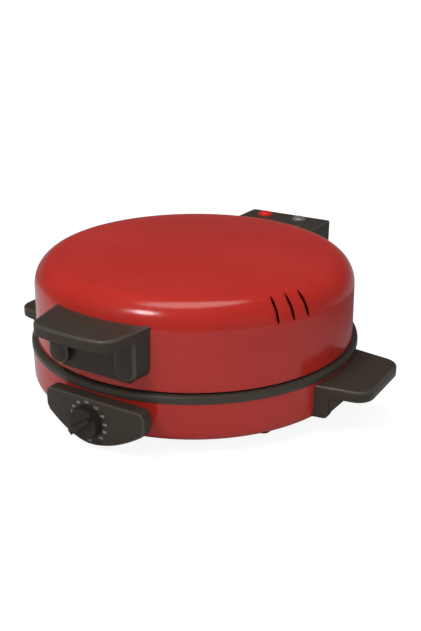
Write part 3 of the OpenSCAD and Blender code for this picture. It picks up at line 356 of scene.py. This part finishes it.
ring_low, ring_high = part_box("rim_ring")
pan_low, pan_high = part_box("lower_pan")
RIM_R = (ring_high.x - ring_low.x) / 2
PAN_FLANGE_R = (pan_high.x - pan_low.x) / 2
PAN_T = 2 * MM
FIT_GAP = 0.2 * MM
SPIGOT_W = 8 * MM
RIM_BORE_R = 153.5 * MM
RIM_ROUND = 3.6 * MM
RIM_LAND = 0.3 * MM
RIM_LOW_ROUND = 0.5 * MM
SEAT_CHAMFER = 0.4 * MM
seat_r = PAN_FLANGE_R + FIT_GAP
spigot_r = BASE_R - SHEET - FIT_GAP
profile = arc(RIM_R - RIM_LOW_ROUND, base_high.z + RIM_LOW_ROUND, RIM_LOW_ROUND, -90, 0, 4)
profile += [(RIM_R, ring_high.z - RIM_ROUND - RIM_LAND)]
profile += arc(RIM_R - RIM_ROUND, ring_high.z - RIM_ROUND, RIM_ROUND, 0, 90, 10)
profile += [(seat_r + SEAT_CHAMFER, ring_high.z), (seat_r, ring_high.z - SEAT_CHAMFER),
            (seat_r, ring_high.z - PAN_T), (RIM_BORE_R, ring_high.z - PAN_T), (RIM_BORE_R, base_high.z),
            (spigot_r - SPIGOT_W, base_high.z), (spigot_r - SPIGOT_W, ring_low.z), (spigot_r, ring_low.z),
            (spigot_r, base_high.z)]
piece("rim_ring_moulded", spun(profile), "base", "rim_plastic", RIM_PLASTIC, "rim_ring")


# ---------------------------------------------------------------------------
# Lower pan: a baking plate pressed from aluminium with a non-stick coating,
# its flange resting in the rim ring.
# ---------------------------------------------------------------------------

NONSTICK, start = new_material("nonstick_coating")
specks = noise(start, 3200, 1).stepped(0.66, 0.72)
peel = noise(start, 700)
baked = noise(start, 22, 4)
coat = baked.blended((0.026, 0.026, 0.028, 1), (0.040, 0.037, 0.035, 1))
surface(start, (0.5 * specks).blended(coat, (0.20, 0.20, 0.21, 1)), 0.33 + 0.12 * baked,
        bump=peel, depth=0.00004)
PAN_R = 150 * MM
PAN_SLOPE = 4 * MM
PAN_CORNER = 6 * MM
PAN_BROW = 1.2 * MM
FLANGE_CHAMFER = 0.5 * MM
FLANGE_NECK = 1 * MM
WALL_LEAN = 4
corner_r = PAN_R - PAN_SLOPE - PAN_CORNER
pan_floor_z = pan_low.z + PAN_T
profile = [(PAN_FLANGE_R, pan_high.z - PAN_T), (PAN_FLANGE_R, pan_high.z - FLANGE_CHAMFER),
           (PAN_FLANGE_R - FLANGE_CHAMFER, pan_high.z), (PAN_R + PAN_BROW, pan_high.z)]
profile += arc(PAN_R + PAN_BROW, pan_high.z - PAN_BROW, PAN_BROW, 100, 170, 4)
profile += arc(corner_r, pan_floor_z + PAN_CORNER, PAN_CORNER, -WALL_LEAN, -90, 8)
profile += [(0, pan_floor_z), (0, pan_low.z)]
profile += arc(corner_r, pan_floor_z + PAN_CORNER, PAN_CORNER + PAN_T, -90, -WALL_LEAN, 8)
profile += [(PAN_R + PAN_T - 0.3 * FLANGE_NECK, pan_high.z - PAN_T - FLANGE_NECK),
            (PAN_R + PAN_T, pan_high.z - PAN_T)]
piece("lower_pan_coated", spun(profile), "base", "nonstick", NONSTICK, "lower_pan")


# ---------------------------------------------------------------------------
# Heat gear: a dished reflector of bright sheet with the tubular element
# clipped to it, in the base and in the lid alike, and the base's thermostat,
# terminal block and thermal fuse, all of ivory ceramic.
# ---------------------------------------------------------------------------

BRIGHT_SHEET, start = new_material("bright_sheet")
place = start.node("TexCoord", None, None, "Object")
rolled = noise(start, 60, 3, start.node("VectorMath", {"operation": "MULTIPLY"}, {0: place, 1: (1, 30, 1)}))
heat = noise(start, 18, 3).stepped(0.45, 0.75)
sheet_colour = (0.5 * heat).blended((0.72, 0.72, 0.71, 1), (0.62, 0.54, 0.40, 1))
surface(start, sheet_colour, 0.22 + 0.16 * rolled, 1.0, bump=rolled, depth=0.00003)
clad("lower_reflector", BRIGHT_SHEET)

SHEATH, start = new_material("oxidised_sheath")
bands = noise(start, 35, 4)
scale = noise(start, 900)
surface(start, bands.blended((0.055, 0.052, 0.050, 1), (0.14, 0.115, 0.095, 1)), 0.50 + 0.15 * scale, 0.75,
        bump=scale, depth=0.00006)
clad("lower_heater", SHEATH)
clad("upper_heater", SHEATH)

STEEL, start = new_material("bright_steel")
place = start.node("TexCoord", None, None, "Object")
drawn = noise(start, 90, 3, start.node("VectorMath", {"operation": "MULTIPLY"}, {0: place, 1: (1, 12, 12)}))
surface(start, drawn.blended((0.52, 0.52, 0.53, 1), (0.66, 0.66, 0.66, 1)), 0.22 + 0.12 * drawn, 1.0,
        bump=drawn, depth=0.00002)
for node in ("lower_heater_clips", "upper_heater_clips", "fuse_strap", "hinge_clips", "hinge_pin_left",
             "hinge_pin_right"):
    clad(node, STEEL)

CERAMIC, start = new_material("ivory_ceramic")
glaze = noise(start, 40, 3)
pits = noise(start, 1600, 1).stepped(0.70, 0.78)
glazed = glaze.blended((0.66, 0.62, 0.52, 1), (0.74, 0.71, 0.62, 1))
surface(start, (0.6 * pits).blended(glazed, (0.30, 0.26, 0.20, 1)), 0.38 + 0.1 * glaze,
        bump=pits, depth=0.00005)
for node in ("thermostat", "terminal_block", "thermal_fuse"):
    clad(node, CERAMIC)


# ---------------------------------------------------------------------------
# Wiring: woven glass sleeves on the leads, a brass nut on the thermostat's
# bush and a rubber bush that the mains cord would pass through.
# ---------------------------------------------------------------------------

SLEEVE, start = new_material("woven_sleeve")
strands = start.node("TexWave", {"wave_type": "BANDS", "bands_direction": "DIAGONAL"}, {"Scale": 420.0})
weave = strands * noise(start, 800, 2)
surface(start, weave.blended((0.42, 0.37, 0.28, 1), (0.74, 0.69, 0.58, 1)), 0.80 + 0.1 * weave,
        bump=weave, depth=0.0002)
clad("internal_leads", SLEEVE)

BRASS, start = new_material("brass")
tarnish = noise(start, 300, 4)
surface(start, tarnish.blended((0.62, 0.44, 0.17, 1), (0.42, 0.28, 0.12, 1)), 0.24 + 0.2 * tarnish, 1.0,
        bump=tarnish, depth=0.00002)
for node in ("thermostat_nut", "hinge_bush_left", "hinge_bush_right"):
    clad(node, BRASS)
clad("cord_bush", RUBBER)


# ---------------------------------------------------------------------------
# Dial panel: a black phenolic moulding screwed to the base's front from
# inside, straight along its top and curved below, with its edges eased.
# ---------------------------------------------------------------------------

BLACK_PLASTIC, start = new_material("black_phenolic")
grain = noise(start, 2600, 2)
swirl = noise(start, 14, 4)
rubbed = noise(start, 55, 5).stepped(0.60, 0.78)
tone = swirl.blended((0.037, 0.027, 0.020, 1), (0.043, 0.032, 0.024, 1))
surface(start, (0.15 * rubbed).blended(tone, (0.075, 0.064, 0.052, 1)), 0.34 + 0.08 * grain - 0.06 * rubbed,
        bump=grain, depth=0.00004, Specular_IOR_Level=0.25)

# Rounded edges of the phenolic pieces: lighter and glossier than the body, a painted highlight along the edges.
BLACK_EDGE_HIGHLIGHT, start = new_material("black_phenolic_painted_edge_highlight")
grain = noise(start, 2600, 2)
uneven_tone = noise(start, 90, 4)
surface(start, uneven_tone.blended((0.050, 0.042, 0.034, 1), (0.080, 0.070, 0.059, 1)), 0.30 + 0.08 * grain,
        bump=grain, depth=0.00003, Specular_IOR_Level=0.4)
CRISP_TURN = radians(32)
IN_PLANE = 0.05 * MM
CLEAR_OF_RIM = RIM_R + 2 * MM


def eased(name, node, width, body, slot, material, edge_material, *planes):
    """The CAD node's own shape, with the outer edges that lie in one of the planes rounded over by width. The
    rounding takes edge_material, on the phenolic pieces a lighter painted highlight. Each plane is an axis
    number and a place on it. All other bends stay crisp."""

    def lies_in(edge, axis, place):
        return all(abs(vert.co[axis] - place) < IN_PLANE for vert in edge.verts)

    bm = bmesh.new()
    bm.from_mesh(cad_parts[node].data)
    bmesh.ops.remove_doubles(bm, verts=bm.verts, dist=2e-6)
    bmesh.ops.dissolve_limit(bm, angle_limit=radians(1.0), verts=bm.verts, edges=bm.edges)
    bmesh.ops.recalc_face_normals(bm, faces=bm.faces)
    bm.normal_update()
    share = bm.edges.layers.float.new("bevel_weight_edge")
    crisp = []
    for edge in bm.edges:
        halfway = (edge.verts[0].co + edge.verts[1].co) / 2
        outside = (halfway - MIDDLE).to_2d().length > CLEAR_OF_RIM
        in_plane = any(lies_in(edge, axis, place) for axis, place in planes)
        edge[share] = outside and in_plane and edge.calc_face_angle_signed(0) > CRISP_TURN
        crisp.append(not edge[share] and edge.calc_face_angle(0) > CRISP_TURN)
    made = piece(name, bm, body, slot, material, node, crease=180)
    made.data.edges.foreach_set("use_edge_sharp", crisp)
    rounding = made.modifiers.new("eased_edges", "BEVEL")
    rounding.width = width
    rounding.segments = 3
    rounding.limit_method = "WEIGHT"
    rounding.harden_normals = True
    rounding.use_clamp_overlap = False
    made.data.materials.append(edge_material)
    rounding.material = 1
    return made


PANEL_ROUND = 1.4 * MM
panel_low, panel_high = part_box("dial_panel")
eased("dial_panel_moulded", "dial_panel", PANEL_ROUND, "base", "black_plastic", BLACK_PLASTIC, BLACK_EDGE_HIGHLIGHT,
      (1, panel_low.y))

PRINT_INK, start = new_material("dial_print_ink")
thin = noise(start, 1500, 3)
surface(start, thin.blended((0.42, 0.40, 0.37, 1), (0.62, 0.60, 0.56, 1)), 0.55 + 0.1 * thin)
DIGIT_SIZE = 3.5 * MM
PRINT_R = 19.2 * MM
INK_LIFT = 0.02 * MM
# Each number's place round the dial, in degrees up from the right.
DIAL_MARKS = {"0": 164, "60": 145, "80": 121, "100": 91, "120": 57, "140": 30, "160": 5, "180": -18,
              "200": -43, "220": -88}
dial_low, dial_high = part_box("dial_shaft")
dial_z = (dial_low.z + dial_high.z) / 2
marks = bmesh.new()
for number, turn in DIAL_MARKS.items():
    digits = bpy.data.curves.new("digits_" + number, "FONT")
    digits.body = number
    digits.size = DIGIT_SIZE
    digits.align_x = "CENTER"
    digits.align_y = "CENTER"
    holder = bpy.data.objects.new("digits_" + number, digits)
    shapes = bpy.data.meshes.new_from_object(holder)
    upright = Matrix.Rotation(radians(90), 4, "X")
    place = Vector((MIDDLE.x + PRINT_R * cos(radians(turn)), panel_low.y - INK_LIFT,
                    dial_z + PRINT_R * sin(radians(turn))))
    shapes.transform(Matrix.Translation(place) @ upright)
    marks.from_mesh(shapes)
    bpy.data.objects.remove(holder)
piece("dial_print", marks, "base", None, PRINT_INK)


# ---------------------------------------------------------------------------
# Dial: a moulded knob with a bevelled skirt and a grip bar, pushed on the
# thermostat's dark phosphated shaft.
# ---------------------------------------------------------------------------

DIAL_PLASTIC, start = new_material("dial_plastic")
grain = noise(start, 2400, 2)
uneven_tone = noise(start, 120, 4)
surface(start, uneven_tone.blended((0.022, 0.017, 0.012, 1), (0.030, 0.023, 0.017, 1)), 0.32 + 0.08 * grain,
        bump=grain, depth=0.00003, Specular_IOR_Level=0.2)

PHOSPHATED, start = new_material("phosphated_steel")
crystals = noise(start, 3000, 3)
surface(start, crystals.blended((0.022, 0.021, 0.019, 1), (0.040, 0.037, 0.033, 1)), 0.50 + 0.1 * crystals, 0.6,
        bump=crystals, depth=0.00002)
clad("dial_shaft", PHOSPHATED)
KNOB_ROUND = 0.6 * MM
knob_low, knob_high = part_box("dial_knob")
eased("dial_knob_moulded", "dial_knob", KNOB_ROUND, "dial", "dial_plastic", DIAL_PLASTIC, DIAL_PLASTIC,
      (1, knob_low.y))


# ---------------------------------------------------------------------------
# Side handles: solid phenolic mouldings at left and right, each a thick plate
# with two supports that follow the base's wall, screwed on from inside.
# ---------------------------------------------------------------------------

WING_T = 11.2 * MM
WING_ROUND = 1.8 * MM
for side in ("left", "right"):
    wing_low, wing_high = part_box("handle_" + side)
    eased("handle_%s_moulded" % side, "handle_" + side, WING_ROUND, "base", "black_plastic", BLACK_PLASTIC,
          BLACK_EDGE_HIGHLIGHT, (2, wing_high.z), (2, wing_high.z - WING_T))


# ---------------------------------------------------------------------------
# Hinge: a moulded bracket with two ears, screwed to the base's back, plated
# steel arms screwed to the lid, and a hollow moulded housing over them.
# ---------------------------------------------------------------------------

# No plane is given for the bracket, so all its edges stay crisp.
eased("hinge_bracket_moulded", "hinge_bracket", 1.0 * MM, "base", "black_plastic", BLACK_PLASTIC, BLACK_EDGE_HIGHLIGHT)
clad("hinge_arm_left", ZINC)
clad("hinge_arm_right", ZINC)
HOUSING_ROUND = 1.5 * MM
housing_low, housing_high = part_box("hinge_housing")
eased("hinge_housing_moulded", "hinge_housing", HOUSING_ROUND, "lid", "black_plastic", BLACK_PLASTIC, BLACK_EDGE_HIGHLIGHT,
      (1, housing_high.y), (2, housing_high.z))


# ---------------------------------------------------------------------------
# Lid: a dome drawn from 1 mm steel, enamelled red over all, with a black
# trim ring and a bright reflector below. Three vent slots are punched through
# its right-hand shoulder, one lip of each pressed inward.
# ---------------------------------------------------------------------------

lid_low, lid_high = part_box("lid_shell")
LID_R = (lid_high.x - lid_low.x) / 2
WALL_H = 52.8 * MM
DRAFT = 1.2 * MM
SHOULDER_R = 28 * MM
wall_z = lid_low.z + WALL_H
dome_r = LID_R - DRAFT - SHOULDER_R
crown_h = lid_high.z - wall_z - SHOULDER_R
crown_reach = (dome_r ** 2 + crown_h ** 2) / (2 * crown_h)
crown_turn = 90 - degrees(asin(dome_r / crown_reach))


def lid_profile(inset):
    """The lid's face from its lower edge to the crown, inset by a thickness."""
    points = [(LID_R - inset, lid_low.z), (LID_R - DRAFT / 2 - inset, lid_low.z + WALL_H / 2)]
    points += arc(dome_r, wall_z, SHOULDER_R - inset, 0, crown_turn, 24)
    crown_r = crown_reach + SHOULDER_R - inset
    crown_z = wall_z - crown_reach + crown_h
    for i in range(1, 9):
        turn = radians(crown_turn + (90 - crown_turn) * i / 8)
        points.append((crown_r * cos(turn) if i < 8 else 0, crown_z + crown_r * sin(turn)))
    return points


VENT_W = 1.5 * MM
VENT_LIP = 3.6 * MM
VENT_SINK = 1.9 * MM
LIP_CUTS = 5
LIP_CURVE = 1.3
NEAR_VENT = 12 * MM
# In degrees: the vents' places round the lid, their ends up its shoulder, and the spare around them.
VENT_TURNS = (-30.5, -24.5, -18.5)
VENT_LOW = 10
VENT_HIGH = 65
SPARE_TURN = 8
# Where the pressed lip starts below and ends above the slot, and how far it takes to fade in and out.
LIP_PAST_LOW, LIP_LOW_FADE = 4, 12
LIP_PAST_HIGH, LIP_HIGH_FADE = 2, 16


def seen_from(shoulder, out, point):
    """Sideways distance of a point from the vent's upright plane, and its angle up round the shoulder's arc."""
    arm = point - shoulder
    return arm.dot(Vector((-out.y, out.x, 0))), degrees(atan2(arm.z, arm.dot(out)))


def cut(bm, faces, point, normal):
    """Cuts those faces along a plane and gives back what they became."""
    geometry = set(faces)
    for face in faces:
        geometry.update(face.edges)
        geometry.update(face.verts)
    result = bmesh.ops.bisect_plane(bm, geom=list(geometry), dist=1e-7, plane_co=point, plane_no=normal)
    return [item for item in result["geom"] if isinstance(item, bmesh.types.BMFace)]


lid = spun(lid_profile(0), closed=False, steps=180)
for turn in VENT_TURNS:
    out = Vector((cos(radians(turn)), sin(radians(turn)), 0))
    along = Vector((-out.y, out.x, 0))
    shoulder = MIDDLE + out * dome_r + Vector((0, 0, wall_z))

    faces = []
    for face in lid.faces:
        across, angle = seen_from(shoulder, out, face.calc_center_median())
        if abs(across) < NEAR_VENT and VENT_LOW - SPARE_TURN < angle < VENT_HIGH + SPARE_TURN:
            faces.append(face)
    for across in [VENT_W / 2] + [-VENT_W / 2 - VENT_LIP * i / (LIP_CUTS - 1) for i in range(LIP_CUTS)]:
        faces = cut(lid, faces, MIDDLE + across * along, along)
    for angle in (VENT_LOW, VENT_HIGH):
        faces = cut(lid, faces, shoulder, out * -sin(radians(angle)) + Vector((0, 0, cos(radians(angle)))))

    slot_faces = []
    for face in faces:
        across, angle = seen_from(shoulder, out, face.calc_center_median())
        if abs(across) < VENT_W / 2 and VENT_LOW < angle < VENT_HIGH:
            slot_faces.append(face)
    bmesh.ops.delete(lid, geom=slot_faces, context="FACES")

    for vert in lid.verts:
        across, angle = seen_from(shoulder, out, vert.co)
        lip = (across + VENT_W / 2 + VENT_LIP) / VENT_LIP
        if 0 < lip < 1.01:
            low_end = min(1, max(0, (angle - VENT_LOW + LIP_PAST_LOW) / LIP_LOW_FADE))
            high_end = min(1, max(0, (VENT_HIGH + LIP_PAST_HIGH - angle) / LIP_HIGH_FADE))
            inward = out * -cos(radians(angle)) - Vector((0, 0, sin(radians(angle))))
            vert.co += inward * VENT_SINK * lip ** LIP_CURVE * low_end * high_end
bmesh.ops.remove_doubles(lid, verts=lid.verts, dist=2e-6)
bmesh.ops.recalc_face_normals(lid, faces=lid.faces)
# The faces look outward before the sheet gets its thickness inward.
crown = max(lid.faces, key=lambda face: face.calc_center_median().z)
if crown.normal.z < 0:
    bmesh.ops.reverse_faces(lid, faces=lid.faces)
lid_skin = piece("lid_shell_enamelled", lid, "lid", "red_paint", RED, "lid_shell", crease=60)
wall = lid_skin.modifiers.new("pressed_sheet", "SOLIDIFY")
wall.thickness = SHEET
wall.offset = -1
wall.use_even_offset = True
clad("lid_trim_ring", BLACK_ENAMEL)
clad("upper_reflector", BRIGHT_SHEET)


# ---------------------------------------------------------------------------
# Lid handle: one hollow phenolic moulding, a plate with a front lip and two
# legs down the lid's wall, screwed on from inside.
# ---------------------------------------------------------------------------

handle_low, handle_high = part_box("lid_handle")
LEG_SETBACK = 32 * MM
HANDLE_ROUND = 2.2 * MM
eased("lid_handle_moulded", "lid_handle", HANDLE_ROUND, "lid", "black_plastic", BLACK_PLASTIC, BLACK_EDGE_HIGHLIGHT,
      (2, handle_high.z), (1, handle_low.y + LEG_SETBACK))


# ---------------------------------------------------------------------------
# Indicator lamps: two domed lenses snapped in the housing's top, one red and
# one smoky, each over a neon lamp on a small board.
# ---------------------------------------------------------------------------

def lens_material(name, colour, depths, clear, gloss, coat, glow):
    """Tinted acrylic, mottled between two colours, with its shares of clearness, gloss, polish and glow."""
    material, start = new_material(name)
    mottled = noise(start, 260, 2)
    surface(start, mottled.blended(colour, depths), 0.12 + 0.06 * mottled,
            bump=noise(start, 900, 1), depth=0.00002, Transmission_Weight=clear, IOR=1.49,
            Specular_IOR_Level=gloss, Coat_Weight=coat, Coat_Roughness=0.05,
            Emission_Color=colour, Emission_Strength=glow)
    return material


# The red lens has a faint painted glow that brightens its red; the neon lamp under it is given no light.
RED_LENS = lens_material("red_lens", (0.62, 0.020, 0.014, 1), (0.54, 0.016, 0.012, 1), 0.12, 0.2, 0.0, 0.06)
CLEAR_LENS = lens_material("clear_lens", (0.24, 0.215, 0.20, 1), (0.20, 0.18, 0.165, 1), 0.35, 0.5, 0.5, 0.0)
DOME_CURVE = 1.2
LENS_CHAMFER = 0.1 * MM
LENS_LEDGE = 1.1 * MM
STEM_WALL_R = 3 * MM
LENS_T = 0.8 * MM
seat_z = housing_high.z
for node, material in (("red_lens", RED_LENS), ("clear_lens", CLEAR_LENS)):
    low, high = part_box(node)
    lens_r = (high.x - low.x) / 2
    rise = high.z - seat_z
    profile = [(0, high.z)]
    profile += [(lens_r * cos(radians(turn)), seat_z + rise * sin(radians(turn)) ** DOME_CURVE)
                for turn in range(84, 0, -6)]
    profile += [(lens_r, seat_z + LENS_CHAMFER), (lens_r - LENS_CHAMFER, seat_z),
                (lens_r - LENS_LEDGE, seat_z), (lens_r - LENS_LEDGE, low.z), (lens_r - STEM_WALL_R, low.z),
                (lens_r - STEM_WALL_R, seat_z - LENS_T), (0, seat_z - LENS_T)]
    bm = spun(profile, closed=False, steps=64, middle=(low + high) / 2)
    piece(node + "_domed", bm, "lid", node, material, node)

BOARD, start = new_material("lamp_board")
fibres = noise(start, 500, 4)
surface(start, fibres.blended((0.30, 0.20, 0.09, 1), (0.42, 0.30, 0.15, 1)), 0.55 + 0.1 * fibres,
        bump=fibres, depth=0.00003)
clad("lamp_board", BOARD)

LAMP_GLASS, start = new_material("lamp_glass")
haze = noise(start, 600, 2)
surface(start, haze.blended((0.80, 0.55, 0.42, 1), (0.85, 0.66, 0.52, 1)), 0.08 + 0.08 * haze,
        Transmission_Weight=0.6, IOR=1.5)
clad("red_lamp", LAMP_GLASS)
clad("clear_lamp", LAMP_GLASS)
